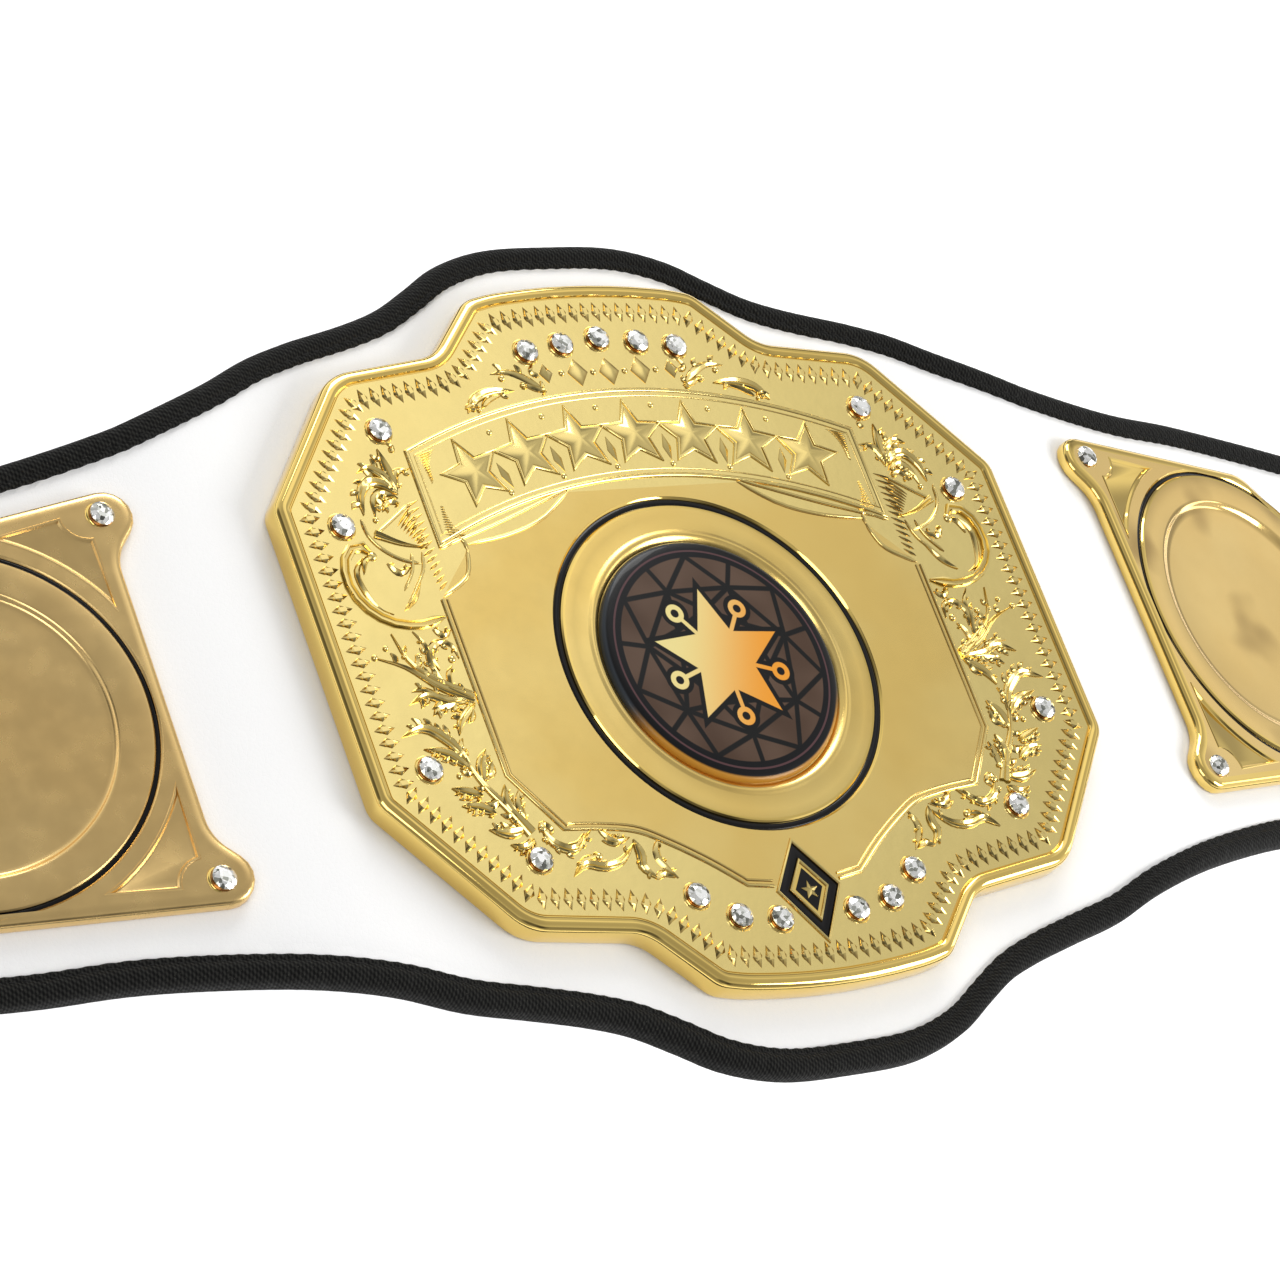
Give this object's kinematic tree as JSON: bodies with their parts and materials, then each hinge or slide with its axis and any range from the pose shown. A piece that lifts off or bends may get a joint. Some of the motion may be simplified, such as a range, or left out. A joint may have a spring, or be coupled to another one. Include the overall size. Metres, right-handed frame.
{
  "type": "championship title belt",
  "caption": "Padded white strap with a black bound edge, a large cast gold plate, two smaller side plates, set stones, enamel lines and snap studs, lying on its back.",
  "frame": {"origin": "middle of the belt, on the surface that its flat ends lie on", "axes": "+X along the belt to the right as seen from its face, +Y up its height, +Z out of its face"},
  "size_m": [1.2242, 0.2234, 0.0459],
  "materials": {
    "gold_plating": "bright gold plating on a zinc casting, polished flats and a finely grained field",
    "black_enamel": "glossy hard enamel",
    "printed_insert": "clear domed resin over a dark printed disc",
    "cut_glass": "clear foil-backed rhinestone",
    "white_leather": "smooth white coated leather over padding",
    "black_tape": "woven black tape, stitched",
    "snap_metal": "bright nickel"
  },
  "bodies": {
    "root": {"strap_panel": "white_leather", "edge_binding": "black_tape", "snap_left_1": "snap_metal", "snap_left_2": "snap_metal", "snap_left_3": "snap_metal", "snap_left_4": "snap_metal", "snap_right_1": "snap_metal", "snap_right_2": "snap_metal", "snap_right_3": "snap_metal", "snap_right_4": "snap_metal", "center_plate": "gold_plating", "center_enamel_ring": "black_enamel", "center_insert": "printed_insert", "badge_enamel": "black_enamel", "center_stone_01": "cut_glass", "center_stone_02": "cut_glass", "center_stone_03": "cut_glass", "center_stone_04": "cut_glass", "center_stone_05": "cut_glass", "center_stone_06": "cut_glass", "center_stone_07": "cut_glass", "center_stone_08": "cut_glass", "center_stone_09": "cut_glass", "center_stone_10": "cut_glass", "center_stone_11": "cut_glass", "center_stone_12": "cut_glass", "center_stone_13": "cut_glass", "center_stone_14": "cut_glass", "center_stone_15": "cut_glass", "center_stone_16": "cut_glass", "center_stone_17": "cut_glass", "center_stone_18": "cut_glass", "center_stone_19": "cut_glass", "side_plate_left": "gold_plating", "side_enamel_ring_left": "black_enamel", "side_stone_left_1": "cut_glass", "side_stone_left_2": "cut_glass", "side_plate_right": "gold_plating", "side_enamel_ring_right": "black_enamel", "side_stone_right_1": "cut_glass", "side_stone_right_2": "cut_glass"}
  },
  "joints": []
}
